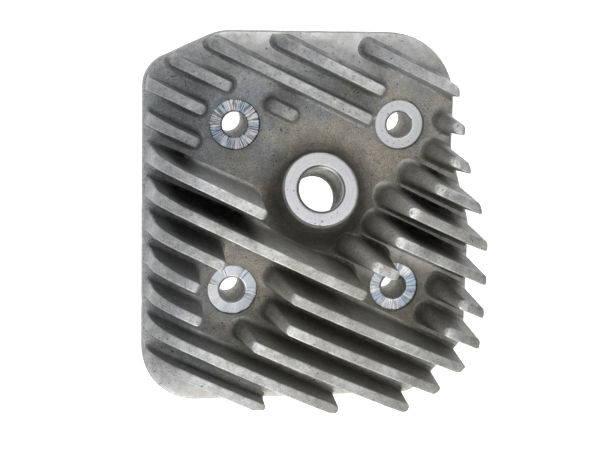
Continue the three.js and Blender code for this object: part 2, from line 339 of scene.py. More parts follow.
def machined_material(
    name, centre, normal, tint=0.0, streaks=0.0, rings=0.5, specks=0.2, seed=0.0,
    tone_and_light=0.6, spread=1.0, mouth=0.0, pitted_side=0.0,
):
    """Bright machined aluminium around one axis, with turning marks and chatter streaks.

    spread is how much of the turn has chatter, mouth the radius of a chamfered bore, and
    pitted_side the radius of a face that has more pits towards the front.
    """
    s = Shader(name)
    rotation = Vector(normal).rotation_difference(Vector((0, 0, 1))).to_matrix().to_4x4()
    local = rotation @ Matrix.Translation(-Vector(centre))
    inputs = {"Vector": s.mm, "Location": local.translation, "Rotation": local.to_euler()}
    x, y = s.split(s.node("Mapping", inputs).outputs[0])
    radius = s.length(x, y)
    angle = s.math("ARCTAN2", y, x)
    turning = s.combine(radius)
    unit = s.combine(s.math("COSINE", angle), s.math("SINE", angle), s.times(radius, 0.012))

    def ring_noise(size, shift):
        return s.noise(size, 2, seed=seed + shift, vector=turning)

    def spoke_noise(size, detail, roughness, shift):
        return s.noise(size, detail, roughness, seed=seed + shift, vector=unit)

    spokes = spoke_noise(0.055, 2, 0.6, 2)
    sectors = spoke_noise(0.6, 1, 0.5, 4)
    white, blue = ([tone_and_light * part for part in colour] for colour in (WHITE_METAL, BLUE_METAL))
    base = s.mix(s.span(sectors, 0.4, 0.62, 0, tint), white, blue)
    chatter = s.span(spokes, 0.38, 0.6, 1 - 0.8 * streaks, 1 + 0.25 * streaks)
    where = s.span(spoke_noise(0.9, 1, 0.5, 9), 0.56 - 0.5 * spread, 0.62 - 0.4 * spread)
    base = s.mix(where, base, s.shade(base, chatter))
    fine = s.span(s.noise(0.5, 3, seed=seed + 6), 0.3, 0.7, 0.93, 1.05)
    turned = s.span(ring_noise(0.45, 1), 0.35, 0.65, 1 - 0.1 * rings, 1 + 0.03 * rings)
    base = s.shade(base, s.times(fine, turned))
    if mouth:
        # Painted shade inside the mouth, and a painted highlight in a thin ring on its chamfer.
        base = s.mix(s.span(radius, mouth - 0.1, mouth + 0.25), MOUTH_SHADE_COLOUR, base)
        inner_edge = s.span(radius, mouth - 0.75, mouth - 0.6)
        lip_highlight = s.minus(inner_edge, s.span(radius, mouth - 0.45, mouth - 0.3))
        base = s.mix(lip_highlight, base, LIP_HIGHLIGHT_COLOUR)
    few = s.span(y, -0.9 * pitted_side, -0.3 * pitted_side, 0.655, 0.7) if pitted_side else 0.68
    speck = s.span(s.noise(0.7, 1, seed=seed + 8), few, s.plus(few, 0.05))
    base = s.mix(s.times(speck, specks), base, SPECK_COLOUR)
    roughness = s.span(spokes, 0.3, 0.7, 0.3, 0.42)
    relief = s.plus(s.times(ring_noise(0.22, 0), rings), s.times(spokes, 2 * streaks))
    return s.finish(base, roughness, MACHINED_METALLIC, s.bump(relief, 0.4, 0.05))


# Each cast surface: its cool, warm and pale colours, how strongly painted shade and grime show, a seed,
# how patchy wear and painted light are.
CAST_LOOKS = {
    "cast_deck": ((0.24, 0.252, 0.26), (0.31, 0.287, 0.238), (0.80, 0.79, 0.765), 0.8, 0, 0.35),
    "cast_fin": ((0.315, 0.325, 0.333), (0.355, 0.343, 0.308), (0.86, 0.872, 0.872), 1.05, 4),
    "cored_hole": ((0.55, 0.55, 0.545), (0.50, 0.49, 0.455), (0.6, 0.6, 0.58), 0.5, 15),
    "thread_metal": ((0.27, 0.262, 0.235), (0.26, 0.24, 0.2), (0.6, 0.6, 0.58), 0.5, 21),
    "cast_underside": ((0.47, 0.47, 0.465), (0.45, 0.43, 0.40), (0.7, 0.7, 0.68), 0.5, 2),
}
cast = {name: cast_material(name, *look) for name, look in CAST_LOOKS.items()}

# The seats' base tones differ: partly their own finish, and partly painted light, each seat set as bright
# as the studio light shows it.
seat_looks = {
    "rear_left": {"tint": 0.9, "streaks": 1.0, "rings": 0.2, "seed": 3.0, "tone_and_light": 0.46},
    "rear_right": {"streaks": 0.05, "rings": 0.7, "specks": 0.9, "seed": 5.0, "tone_and_light": 0.5},
    "front_left": {"tint": 0.35, "streaks": 0.8, "rings": 0.4, "seed": 8.0, "tone_and_light": 0.57, "spread": 0.12},
    "front_right": {"tint": 0.8, "streaks": 0.65, "rings": 0.3, "seed": 11.0, "tone_and_light": 0.9, "spread": 0.75},
}


# ---- deck plate ----
OUTLINE_STEP = 1.0
DECK_EDGE_RADIUS = 1.0
DECK_STEP = 1.3  # spacing of the points inside the deck
BOSS_OPENING = 9.5  # the hole in the deck under the plug boss


def plate_outline():
    """The plate's outline from the CAD node, as points about OUTLINE_STEP apart."""
    holes = [(centre, SEAT_RADIUS + 2) for centre in studs.values()] + [(bore_axis, 20)]
    edge = [
        point.xy
        for point in cad_points("deck_plate")
        if abs(point.z - DECK_TOP) < CAD_TOLERANCE
        and all((point.xy - centre).length > reach for centre, reach in holes)
    ]
    edge.sort(key=lambda point: math.atan2(point.y, point.x))
    outline = []
    for i, point in enumerate(edge):
        step = edge[(i + 1) % len(edge)] - point
        parts = max(1, round(step.length / OUTLINE_STEP))
        if step.length > 0.05:
            outline += [point + step * (k / parts) for k in range(parts)]
    return outline


def inward_normals(outline):
    following = outline[1:] + outline[:1]
    chords = [after - outline[i - 1] for i, after in enumerate(following)]
    return [Vector((-chord.y, chord.x)).normalized() for chord in chords]


def fill_flat(loops, spacing=0, seed=0.0):
    """Triangles over the area inside the first loop and outside the others.

    With a spacing, points that far apart are strewn over the area first.
    """
    border = [point for loop in loops for point in loop]
    edges, start = [], 0
    for loop in loops:
        edges += [(start + i, start + (i + 1) % len(loop)) for i in range(len(loop))]
        start += len(loop)
    inner = []
    if spacing:
        xs = [point.x for point in loops[0]]
        ys = [point.y for point in loops[0]]
        columns = int((max(xs) - min(xs)) / spacing)
        rows = int((max(ys) - min(ys)) / spacing)
        for i in range(1, columns):
            for j in range(1, rows):
                shift = 0.5 * (j % 2)
                point = Vector((min(xs) + (i + shift) * spacing, min(ys) + j * spacing))
                jitter = noise.noise_vector(Vector((point.x, point.y, seed))).xy * 0.3 * spacing
                inner.append(point + jitter)
        inner = [p for p in inner if inside(p, loops[0], 0.5 * spacing)]
        for loop in loops[1:]:
            centre = sum(loop, Vector((0, 0))) / len(loop)
            reach = (loop[0] - centre).length + 0.5 * spacing
            inner = [p for p in inner if (p - centre).length > reach]
    points, _, triangles, *_ = geometry.delaunay_2d_cdt(border + inner, edges, [], 1, 1e-6)
    # A triangle with all its corners on the loop of one hole lies in that hole.
    owner = [0] * len(points)
    start = 0
    for number, loop in enumerate(loops):
        for i in range(len(loop)):
            owner[start + i] = number
        start += len(loop)
    kept = []
    for triangle in triangles:
        owners = {owner[i] if i < start else 0 for i in triangle}
        if 0 in owners or len(owners) > 1:
            kept.append(tuple(triangle))
    return points, kept


def inside(point, loop, margin):
    """Whether a point lies inside a loop, further than margin from its corners."""
    hit = False
    for i, first in enumerate(loop):
        second = loop[i - 1]
        if (first.y > point.y) != (second.y > point.y):
            crossing = second.x + (point.y - second.y) * (first.x - second.x) / (first.y - second.y)
            hit = hit != (point.x < crossing)
    return hit and min((point - corner).length for corner in loop) > margin


def deck_height(point):
    """Small unevenness of the as-cast deck."""
    spot = (point.x, point.y, 0)
    return DECK_TOP + 0.07 * cast_noise(spot, 9) + 0.03 * cast_noise(spot, 2.5, 4)


def boss_foot_shade(point):
    """Painted shade round the foot of the plug boss fades outwards over a few millimetres."""
    reach = (point - plug_foot).length + 0.9 * cast_noise((point.x, point.y, 0), 4, 11)
    return min(0.8, max(0.0, 1 - (reach - 13.0) / 7.5))


def deck_shade(point):
    """Painted shade round the plug boss, in a thin ring round the stud seats and in the gaps on the left.
    """
    s, v = fin_place(point)
    left = clamp((8 - s) / 10) * clamp((v + 44) / 20)
    value = max(boss_foot_shade(point) * (1 - gap_light(point)), 0.3 * left * in_gap(point))
    for centre in studs.values():
        value = max(value, 0.35 * max(0.0, 1 - ((point - centre).length - SEAT_RADIUS) / 1.6))
    return value


def deck_light(point):
    """Painted light: the deck is paler along its rear, front and right edges, and in the gaps on the
    right.
    """
    rear = 0.84 * (1 - (plate_high.y - point.y) / 17) * clamp((point.x + 34) / 8, 0.3)
    front = 0.55 * (1 - (point.y - plate_low.y) / 12)
    side = 0.65 * (1 - (plate_high.x - point.x) / 14)
    return clamp(max(rear, front, side, gap_light(point)))


def gap_light(point):
    """Painted light: the deck is paler in the gaps between the tall fins on the right."""
    s, _ = fin_place(point)
    return 0.62 * in_gap(point) * clamp((s - 4) / 12)


def in_gap(point):
    """One in the gap in front of a tall fin, fading out at the gap's ends and its far side."""
    s, v = fin_place(point)
    best = 0.0
    for fin in fins.values():
        first, last = (end["place"] for end in fin["ends"])
        ahead = fin["row"] - v
        if ahead > 0 and np.polyval(fin["line"], s) > LOW_CREST:
            inwards = min((s - first - 1.5) / 4, (last + 3 - s) / 4)
            best = max(best, min(1.0, inwards, (7.5 - ahead) / 2.5))
    return best


def build_deck():
    normals = inward_normals(outline_points)
    count = len(outline_points)
    points, faces = [], []
    rings = [(0.4, DECK_UNDERSIDE), (0.0, DECK_UNDERSIDE + 0.4)]
    for turn in arc_steps(5):
        inset = DECK_EDGE_RADIUS * (1 - math.cos(turn))
        rings.append((inset, DECK_TOP - DECK_EDGE_RADIUS * (1 - math.sin(turn))))
    for inset, height in rings:
        for point, normal in zip(outline_points, normals):
            wobble = 0.12 * cast_noise((point.x, point.y, 0.3 * height), 5, 2)
            moved = point + normal * (inset + max(0.0, wobble))
            points.append(Vector((moved.x, moved.y, height)))
    join_rows(len(rings), count, faces)
    top_loop = [point.xy for point in points[-count:]]
    hole_loops = [flat_circle(centre, SEAT_RADIUS, 72) for centre in studs.values()]
    hole_loops.append(flat_circle(plug_foot, BOSS_OPENING, 48))
    flat, triangles = fill_flat([top_loop, *hole_loops], DECK_STEP, 1.0)
    start = len(points) - count
    for point in flat[count:]:
        points.append(Vector((point.x, point.y, deck_height(point))))
    for i in range(count):
        points[start + i].z = deck_height(points[start + i].xy)
    faces += [tuple(start + i for i in triangle) for triangle in triangles]
    hole_start = start + count
    wall_starts = []
    for loop in hole_loops:
        floor = len(points)
        points += [Vector((p.x, p.y, DECK_UNDERSIDE)) for p in loop]
        bridge(hole_start, floor, len(loop), faces)
        wall_starts.append(floor)
        hole_start += len(loop)
    under_loop = [point.xy for point in points[:count]]
    _, under = fill_flat([under_loop, *hole_loops])
    lookup = list(range(count))
    for floor, loop in zip(wall_starts, hole_loops):
        lookup += range(floor, floor + len(loop))
    faces += [tuple(lookup[i] for i in reversed(triangle)) for triangle in under]
    floats = {}
    # Painted shade and painted light on the deck's top, carried as attributes.
    for label, look in (("shade_and_grime", deck_shade), ("wear_and_light", deck_light)):
        floats[label] = [look(p.xy) if p.z > DECK_TOP - 0.4 else 0.0 for p in points]
    deck = new_piece("deck_plate_cast", points, faces, cast["cast_deck"], floats)
    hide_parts("deck_plate")


# ---- fins ----
# Fin ends: a curved start at the plate's edge, a straight end at that edge, and inside the
# plate a sloped or a steep one.
RIM, FLUSH, NOSE, BLUFF = "rim", "flush", "nose", "bluff"
OBLIQUE_SETBACK = 0.1  # fins that cross the front edge at a shallow angle end this far from it


def keep_on_plate(points, margins):
    """Brings points that lie too far out back to their margin from the plate's outline."""
    ring = np.array([tuple(point) for point in outline_points])
    step = np.roll(ring, -1, axis=0) - ring
    for point, margin in zip(points, margins):
        here = np.array((point.x, point.y))
        share = ((here - ring) * step).sum(axis=1) / (step**2).sum(axis=1)
        nearest = ring + step * np.clip(share, 0, 1)[:, None]
        gaps = here - nearest
        best = int(np.hypot(gaps[:, 0], gaps[:, 1]).argmin())
        outwards = np.array((step[best][1], -step[best][0])) / math.hypot(*step[best])
        if outwards.dot(gaps[best]) > margin:
            point.x, point.y = nearest[best] + outwards * margin


def read_fin(node):
    """A CAD fin's row, its foot ends with their skew, its crest line and the kind of each end."""
    corners = [(*fin_place(point.xy), point.z) for point in cad_points(node)]
    tops = [c for c in corners if c[2] > DECK_TOP + 2]
    tally = {}
    for _, v, _ in tops:
        tally[round(v, 2)] = tally.get(round(v, 2), 0) + 1
    # Most of the corners above the foot lie along the two edges of the crest.
    sides = sorted(sorted(tally, key=tally.get)[-2:])
    row = (sides[0] + sides[1]) / 2
    half = (sides[1] - sides[0]) / 2
    crest = [c for c in tops if abs(abs(c[1] - row) - half) < CAD_TOLERANCE]
    line = np.polyfit([c[0] for c in crest], [c[2] for c in crest], 2)
    foot = [c for c in corners if abs(c[2] - DECK_TOP) < CAD_TOLERANCE]
    ends, oblique = [], False
    for sign in (1, -1):
        tip = min(sign * c[0] for c in foot)
        near = [c for c in foot if sign * c[0] < tip + 6]
        one, other = min(near, key=lambda c: c[1]), max(near, key=lambda c: c[1])
        crest_tip = min(sign * c[0] for c in crest)
        place, skew = sign * tip, 0.0
        foot_corner = bore_axis + along * one[0] + across * one[1]
        at_edge = min((foot_corner - point).length for point in outline_points) < 1.2
        if at_edge and other[1] - one[1] > 2 * half:
            skew = (other[0] - one[0]) / (other[1] - one[1])
            place = one[0] + (row - one[1]) * skew
        elif at_edge:
            place = sign * crest_tip - OBLIQUE_SETBACK * sign
            oblique = True
        run = crest_tip - sign * place
        kind = (RIM if sign > 0 else FLUSH) if at_edge else (NOSE if run > 3.6 else BLUFF)
        ends.append({"place": place, "skew": skew, "kind": kind, "run": run, "at_start": sign > 0})
    overhang = 0.12 if oblique else 0.0
    return {"row": row, "half": half, "line": line, "ends": ends, "overhang": overhang}


def end_shape(end, height):
    """A fin end's lean inwards at each height above the deck, then its crest's drop and reach."""
    kind = end["kind"]
    low = min(1.0, height / 14)
    run = max(0.6, end["run"] - (1.2 if kind == BLUFF else 1.5))
    leans = {
        RIM: lambda z: 0.9 * low * (1 - math.exp(-z / (1.5 * low))) + 0.06 * z,
        FLUSH: lambda z: 0.02 * z,
        NOSE: lambda z: run * z / height,
        BLUFF: lambda z: run * (z / height) ** 1.3,
    }
    crests = {RIM: (min(9.0, 0.75 * height), 9.0), FLUSH: (1.0, 1.1), NOSE: (1.0, 1.3)}
    crests[BLUFF] = (0.6 * height, 8.0) if end["at_start"] else (1.3, 1.3)
    return leans[kind], *crests[kind]


def rounding(drop, reach, x):
    """How far a crest has dropped this far from its tip."""
    share = clamp(x / reach)
    return drop * (1 - math.sqrt(max(0.0, 1 - (1 - share) ** 2)))


ROOT_RADIUS, LOW_ROOT_RADIUS = 0.95, 1.1
LOW_CREST = 31.0  # fins with a lower crest than this have a fuller root and no gap of their own
CREST_EDGE = 0.42
FIN_DRAFT = 0.072
FLUSH_CORNERS = (1.4, 1.9)  # rear and front corner of a fin end that is flush with the plate
ROUND_END = 9  # more than any half width, for ends that are round all over
SKEW_REACH = 9  # how far from a fin's end its skew is felt
FIN_STEP = 1.7  # spacing of the points along a fin
WALL_SHARES = (0.12, 0.26, 0.42, 0.58, 0.74, 0.88)
SPOT_FACE_RADIUS = SEAT_RADIUS + 0.25
# Each ring of a fin: the share of the wall, or an angle of the root or of the crest edge.
FIN_RINGS = [("sunk", 0.0)]
FIN_RINGS += [("root", turn) for turn in arc_steps(4)]
FIN_RINGS += [("wall", share) for share in WALL_SHARES]
FIN_RINGS += [("crest", turn) for turn in arc_steps(4)]


def shelter(row, s):
    """How well the next fin to the rear shades this spot, from 0 to 1."""
    best = 0.0
    for other in fins.values():
        if 1 < other["row"] - row < 12:
            first, last = (end["place"] for end in other["ends"])
            best = max(best, clamp(min(s - first, last - s) / 5 + 0.6))
    return best


def half_ring(first, last, half_width, round_0, round_1, inner):
    """One side of a fin's ring as (s, v) places, with both its ends rounded."""
    turns = arc_steps(5)[:-1]
    side = []
    for turn in turns:
        s = first + round_0 * (1 - math.cos(turn))
        side.append((s, half_width(s) - round_0 * (1 - math.sin(turn))))
    for i in range(inner + 1):
        share = i / inner
        share -= 0.1 * math.sin(TAU * share)
        s = first + round_0 + (last - round_1 - first - round_0) * share
        side.append((s, half_width(s)))
    for turn in reversed(turns):
        s = last - round_1 * (1 - math.cos(turn))
        side.append((s, half_width(s) - round_1 * (1 - math.sin(turn))))
    return side


def clear_of_seats(flat):
    """The place, moved out of the stud seats' spot faces, and one if it was inside one."""
    cut = 0.0
    for centre in studs.values():
        away = flat - centre
        if away.length < SPOT_FACE_RADIUS:
            flat = centre + away.normalized() * SPOT_FACE_RADIUS
            cut = 1.0
    return flat, cut


def build_fin(node):
    fin = fins[node]
    row, half = fin["row"], fin["half"]
    start, end = fin["ends"]
    length = end["place"] - start["place"]
    inner = max(6, round(length / FIN_STEP))
    seed = 3 * row

    def crest_line(s):
        return float(np.polyval(fin["line"], s))

    low_fin = crest_line((start["place"] + end["place"]) / 2) < LOW_CREST
    root_radius = LOW_ROOT_RADIUS if low_fin else ROOT_RADIUS
    height_0, height_1 = (crest_line(side["place"]) - DECK_TOP for side in fin["ends"])
    lean_0, drop_0, reach_0 = end_shape(start, height_0)
    lean_1, drop_1, reach_1 = end_shape(end, height_1)
    tip_0 = start["place"] + lean_0(height_0 - drop_0)
    tip_1 = end["place"] - lean_1(height_1 - drop_1)
    crest_start = tip_0 + drop_0

    def crest(s):
        value = crest_line(s)
        value -= rounding(drop_0, reach_0, s - tip_0) + rounding(drop_1, reach_1, tip_1 - s)
        return value + 0.12 * cast_noise((s, row, 0), 14, 3) + 0.05 * cast_noise((s, row, 0), 3.5, 5)

    def ring_height(kind, value, s):
        if kind == "sunk":
            return DECK_TOP - 0.3
        if kind == "root":
            return DECK_TOP + root_radius * (1 - math.cos(value))
        if kind == "wall":
            low = DECK_TOP + root_radius
            return low + (crest(s) - CREST_EDGE - low) * value
        return crest(s) - CREST_EDGE * (1 - math.sin(value))

    def fin_ring(kind, value):
        """One ring as (s, v) places, and where it starts and ends along the fin."""
        spread = 0.0
        if kind == "sunk":
            spread = root_radius + 0.4
        elif kind == "root":
            spread = root_radius * (1 - math.sin(value))
        elif kind == "crest":
            spread = -CREST_EDGE * (1 - math.cos(value))

        def end_at(spot, lean, sign, free):
            s = spot
            for _ in range(3):
                s = spot + sign * lean(max(0.0, ring_height(kind, value, s) - DECK_TOP))
            return s - sign * (spread if free or spread < 0 else 0.0)

        def half_width(s):
            return half + max(0.0, crest_line(s) - ring_height(kind, value, s)) * FIN_DRAFT + spread

        first = end_at(start["place"], lean_0, 1, start["kind"] != RIM)
        last = end_at(end["place"], lean_1, -1, end["kind"] != FLUSH)
        width_0, width_1 = half_width(first), half_width(last)
        front_round = min(0.9 * width_0, 0.9 if start["kind"] == RIM else ROUND_END)
        rear_round = front_round
        if start["kind"] == NOSE and start["place"] < 5:
            # These noses keep a ridge at their rear corner, sharper towards the crest.
            climb = clamp((ring_height(kind, value, first) - DECK_TOP) / 7)
            rear_round = (0.9 - 0.55 * climb) * width_0
        corners = FLUSH_CORNERS if end["kind"] == FLUSH else (ROUND_END, ROUND_END)
        rear, front = (
            half_ring(first, last, half_width, round_0, min(0.9 * width_1, corner), inner)
            for round_0, corner in zip((rear_round, front_round), corners)
        )
        loop = rear + [(last, 0.0)] + [(s, -v) for s, v in reversed(front)] + [(first, 0.0)]
        return loop, first, last

    def marks(kind, value, s, v, z, first, last, cut):
        """Wear with painted light, painted shade, and scars with painted highlights at one point, each
        from 0 to 1.
        """
        nose, foot = start["kind"] == NOSE, kind in ("sunk", "root")
        top = crest_line(s) - DECK_TOP
        top_share = (z - DECK_TOP) / max(1.0, top)
        # One on the side that faces the rear, fading to nothing towards the front.
        back = clamp(0.35 + 0.9 * v / (half + top * FIN_DRAFT))
        covered, tall = shelter(row, s), clamp((top - 12) / 8)

        # A painted highlight along the rear root of tall fins.
        scar_and_highlight = 0.5 * back * tall if kind == "root" and 0.4 < value < 1.5 else 0.0
        inland = 1.0 if nose else clamp((s - first) / 18)
        # Painted light: rear roots are paler where no fin shelters them.
        wear_and_light = back * (0.1 + 0.25 * (1 - covered)) if kind == "root" else 0.0
        if kind == "crest":
            # A painted highlight at the start of each nose's crest.
            edge = max(0.0, 1 - abs(s - crest_start - 0.9) / 2.2) if nose else 0.0
            scar_and_highlight = edge * (0.48 + 0.42 * clamp(crest_start / 20))
            # Crest edges, the rear one most, are pale: real wear and a painted highlight.
            brink = 0.5 * back if value > 1.5 else math.sin(2 * value) ** 2
            edge_wear_and_highlight = (0.25 + 0.75 * back) * brink * (0.45 + 0.55 * tall)
            wear_and_light = (0.14 + edge_wear_and_highlight) * (0.25 + 0.75 * inland)

        # Painted shade: darker low on the walls, at the noses' feet, in gaps the next fin shelters, on the
        # rear of flush tips and of low fins.
        depth = 0.15 if foot else clamp(1.4 - 2.0 * top_share)
        nose_foot = 0.0
        if nose and not foot:
            nose_foot = 0.75 * max(0.0, 1 - (s - first) / 5) * max(0.0, 1 - 2.2 * top_share)
        open_air = clamp(1 + (row + 20 - 14 * clamp(s / 15)) / 16, 0.24)
        inward = s - first - (3 if nose else 1)
        deep = back * covered * (1.0 if foot else clamp(1.8 - 1.15 * top_share))
        deep *= open_air * clamp(inward / 6) * (1 - 0.5 * max(0.0, 1 - (last - s) / 14))
        hollow = depth * (0.06 if start["kind"] == RIM else 0.3 + 0.2 * back)
        tip_side = 0.0
        if end["kind"] == FLUSH and not foot:
            tip_side = 0.75 * back * max(0.0, 1 - (last - s) / 25)
        low_back = 0.8 * depth * back * clamp((s - first - 3) / 9)
        # Low fins get darker towards the left, and fins near their start at the plate's edge.
        low_left = 0.36 * (1 - tall) * clamp((-s - 20) / 15, 0.25)
        darkening = tall * max(deep, hollow, tip_side) + (1 - tall) * low_back
        # Painted shade at the foot; spot-face cuts stay clean.
        shade_and_grime = max(darkening, nose_foot, 0.45 * (1 - inland), low_left, 0.22 * foot) * (1 - cut)
        return max(cut, wear_and_light), shade_and_grime, max(cut, scar_and_highlight)

    points, faces, margins = [], [], []
    floats = {"wear_and_light": [], "shade_and_grime": [], "scar_and_highlight": []}
    for kind, value in FIN_RINGS:
        loop, first, last = fin_ring(kind, value)
        for s, v in loop:
            z = ring_height(kind, value, s)
            share_0, share_1 = (
                max(0.0, 1 - gap / min(SKEW_REACH, length / 2)) for gap in (s - first, last - s)
            )
            skewed = s + v * (start["skew"] * share_0 + end["skew"] * share_1)
            bump = 0.07 * cast_noise((s, v, z), 5, seed) + 0.035 * cast_noise((s, v, z), 1.9, seed)
            v += math.copysign(bump, v) if kind != "sunk" and v else 0.0
            flat, cut = clear_of_seats(bore_axis + along * skewed + across * (row + v))
            points.append(Vector((flat.x, flat.y, z)))
            above = z - DECK_TOP - 2.2
            margins.append(0.12 + fin["overhang"] * above if above > 0 else -0.15 + 0.27 * above)
            values = marks(kind, value, s, v, z, first, last, cut)
            for label, number in zip(floats, values):
                floats[label].append(number)
    keep_on_plate(points, margins)
    count = len(loop)
    pairs = count // 2 - 1
    join_rows(len(FIN_RINGS), count, faces)
    cap = [(i, i + 1, count - 3 - i, count - 2 - i) for i in range(pairs - 1)]
    cap += [(count - 1, 0, count - 2), (pairs - 1, pairs, pairs + 1)]
    for base, flip in ((0, True), ((len(FIN_RINGS) - 1) * count, False)):
        for face in cap:
            face = tuple(base + index for index in face)
            faces.append(face if flip else face[::-1])
    piece = new_piece(f"{node}_cast", points, faces, cast["cast_fin"], floats)
    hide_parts(node)


# ---- plug boss, its seat and its thread ----
plug_side = Vector((1, 0, 0))
plug_up = plug_direction.cross(plug_side)
plug_place = Matrix((plug_side, plug_up, plug_direction)).transposed().to_4x4()
plug_place.translation = plug_seat


def plug_point(direction, radius, depth):
    """A point beside the plug axis, this deep under the plug seat."""
    return plug_place @ (direction * radius - Vector((0, 0, depth)))


def search_depth(low, high, above):
    """The depth at which above(depth) stops being true."""
    for _ in range(40):
        middle = (low + high) / 2
        low, high = (middle, high) if above(middle) else (low, middle)
    return low


def boss_radius(depth):
    """The turret widens downwards, more gently below its first few millimetres."""
    return PLUG_RING_RADIUS + 0.05 + 1.3 * min(1.0, depth / 4) + 0.19 * max(0.0, depth - 4)


def boss_column(direction):
    """Points down one side of the turret, along its flare, and back up inside it."""

    def at(depth):
        return plug_point(direction, boss_radius(depth), depth)

    foot_depth = search_depth(0.0, 40.0, lambda depth: at(depth).z > DECK_TOP)
    foot, rise = at(foot_depth), 0.55 * foot_depth
    outward = (plug_place.to_3x3() @ direction).xy.normalized().to_3d()
    flared = foot + outward * min(4.6, 1.2 + 0.75 * rise)
    column = [
        plug_point(direction, PLUG_RING_RADIUS - 0.4, 0.1),
        plug_point(direction, PLUG_RING_RADIUS - 0.05, 0.35),
    ]
    steps = 6
    column += [at(0.8 + (foot_depth - rise - 0.8) * k / steps) for k in range(steps + 1)]
    top = at(foot_depth - rise)
    for k in range(1, 10):
        t = k / 9
        column.append(top * (1 - t) ** 2 + foot * 2 * t * (1 - t) + flared * t * t)
    column.append(flared + outward * 0.4 - Vector((0, 0, 0.3)))
    inner = plug_point(direction, BOSS_INNER_RADIUS, foot_depth * 0.6)
    column.append(Vector((inner.x, inner.y, min(inner.z, DECK_TOP - 0.3))))
    column.append(plug_point(direction, BOSS_INNER_RADIUS, 0.5))
    for k, point in enumerate(column[2:-3], 2):
        push = 0.12 * cast_noise(point, 4.5, 6) + 0.05 * cast_noise(point, 1.6, 8)
        column[k] = point + outward * push
    return column


def build_boss():
    columns = [boss_column(Vector(spot)) for spot in circle(1, 0, 112)]
    points, faces = stack_rings(list(zip(*columns)), Matrix())
    shade_and_grime = []
    # Painted shade: the turret darkens towards its foot.
    for point in points:
        up = max(0.0, point.z - DECK_TOP) / 9
        shade_and_grime.append(max(0.2, boss_foot_shade(point.xy) * (1 - 0.6 * up)))
    bright = 3 * len(columns)  # the rim round the plug seat
    wear_and_light = [0.9] * bright + [0.0] * (len(points) - bright)
    floats = {"wear_and_light": wear_and_light, "shade_and_grime": shade_and_grime}
    boss = new_piece("plug_boss_cast", points, faces, cast["cast_deck"], floats)
    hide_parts("spark_plug_boss")


def turned_ring(name, profile, place, material, count=144, waves=None):
    """A closed ring turned from a profile of (radius, height) pairs."""
    rings = []
    for radius, height in profile:
        ring = []
        for x, y, z in circle(radius, height, count):
            lift = waves(math.atan2(y, x), radius, height) if waves else 0.0
            ring.append((x, y, z + lift))
        rings.append(ring)
    points, faces = stack_rings(rings, place)
    return new_piece(name, points, faces, material)


def build_plug_ring():
    outer, inner = PLUG_RING_RADIUS, PLUG_MOUTH_RADIUS
    profile = [(inner - 0.5, -1.6), (inner - 0.72, -0.78), (inner - 0.1, -0.16)]
    profile += [(inner, -0.05), (inner + 0.1, 0.0)]
    profile += [(inner + 0.1 + (outer - inner - 0.4) * k / 7, 0.0) for k in range(1, 8)]
    profile += [(outer - 0.14, -0.04), (outer - 0.02, -0.2), (outer - 0.02, -1.6)]
    marks = {"rings": 1.0, "specks": 0.9, "seed": 17.0, "mouth": inner, "pitted_side": outer}
    look = machined_material("plug_seat_metal", plug_seat, plug_direction, **marks)
    ring = turned_ring("plug_seat_ring", profile, plug_place, look)
    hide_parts("spark_plug_boss")


def dome_depths(radius, count):
    """Depth along the plug axis at which each side of the bore meets the chamber's dome."""

    def depth_of(side):
        def above(depth):
            point = plug_point(side, radius, depth)
            return point.z > chamber_height(point.xy)

        return search_depth(4.0, 30.0, above)

    return [depth_of(Vector(spot)) for spot in circle(1, 0, count)]


def build_thread():
    count, rows = 60, 96
    ends = dome_depths(THREAD_MINOR_RADIUS, count)
    rings, pale, groove_shade = [], [], []
    for k in range(rows + 1):
        ring = []
        for i, (x, y, _) in enumerate(circle(1, 0, count)):
            depth = 0.5 + (ends[i] - 0.5) * k / rows
            phase = (depth / THREAD_PITCH - i / count) % 1.0
            tooth = clamp(1.35 - abs(phase - 0.5) * 3.4) * min(1.0, (ends[i] - depth) / 2)
            radius = THREAD_MINOR_RADIUS + THREAD_DEPTH * tooth
            radius = max(radius, PLUG_MOUTH_RADIUS - 0.6 * depth)
            # Painted shade darkens the thread's grooves; its crests are paler.
            pale.append(0.6 * (1 - tooth))
            groove_shade.append(tooth)
            ring.append((radius * x, radius * y, -depth))
        rings.append(ring)
    outer = circle(THREAD_OUTER_RADIUS, -1.2, count)
    rings.append([(x, y, -end + 0.4) for (x, y, _), end in zip(outer, ends)])
    rings.append(outer)
    points, faces = stack_rings(rings, plug_place)
    pale += [0.0] * 2 * count
    groove_shade += [0.0] * 2 * count
    floats = {"wear_and_light": pale, "shade_and_grime": groove_shade}
    thread = new_piece("plug_thread", points, faces, cast["thread_metal"], floats)
    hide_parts("spark_plug_boss")


